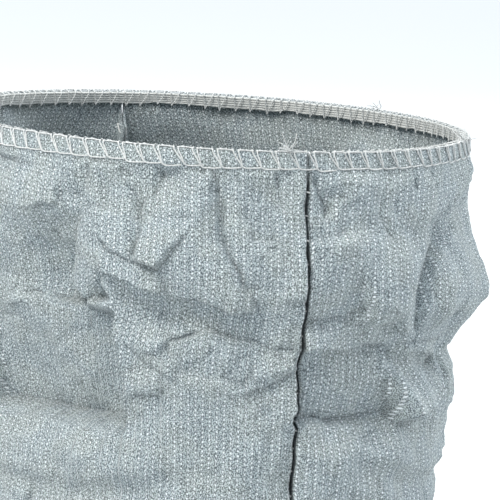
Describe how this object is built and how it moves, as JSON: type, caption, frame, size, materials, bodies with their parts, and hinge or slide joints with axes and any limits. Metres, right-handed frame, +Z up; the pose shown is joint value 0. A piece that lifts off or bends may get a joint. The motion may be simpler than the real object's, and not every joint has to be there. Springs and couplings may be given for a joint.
{
  "type": "boot cover",
  "caption": "Disposable sewn boot cover of embossed nonwoven cloth, hollow and open at a gathered elastic collar with an overlocked edge, on a turned-up sheet sole.",
  "frame": {"origin": "on the floor, under the middle of the cover's length and width", "axes": "+X towards the toe, +Y towards the wearer's left, +Z up"},
  "size_m": [0.3303, 0.1218, 0.2458],
  "materials": {
    "cover_cloth": "matt grey nonwoven with raised pale dots in rows, crumpled",
    "sole_sheet": "matt dark grey coated sheet with a fine grip emboss",
    "elastic": "white ribbed elastic braid",
    "thread": "white spun sewing thread, matt"
  },
  "bodies": {
    "root": {"upper": "cover_cloth", "sole": "sole_sheet", "collar_elastic": "elastic", "collar_overlock": "thread"}
  },
  "joints": []
}
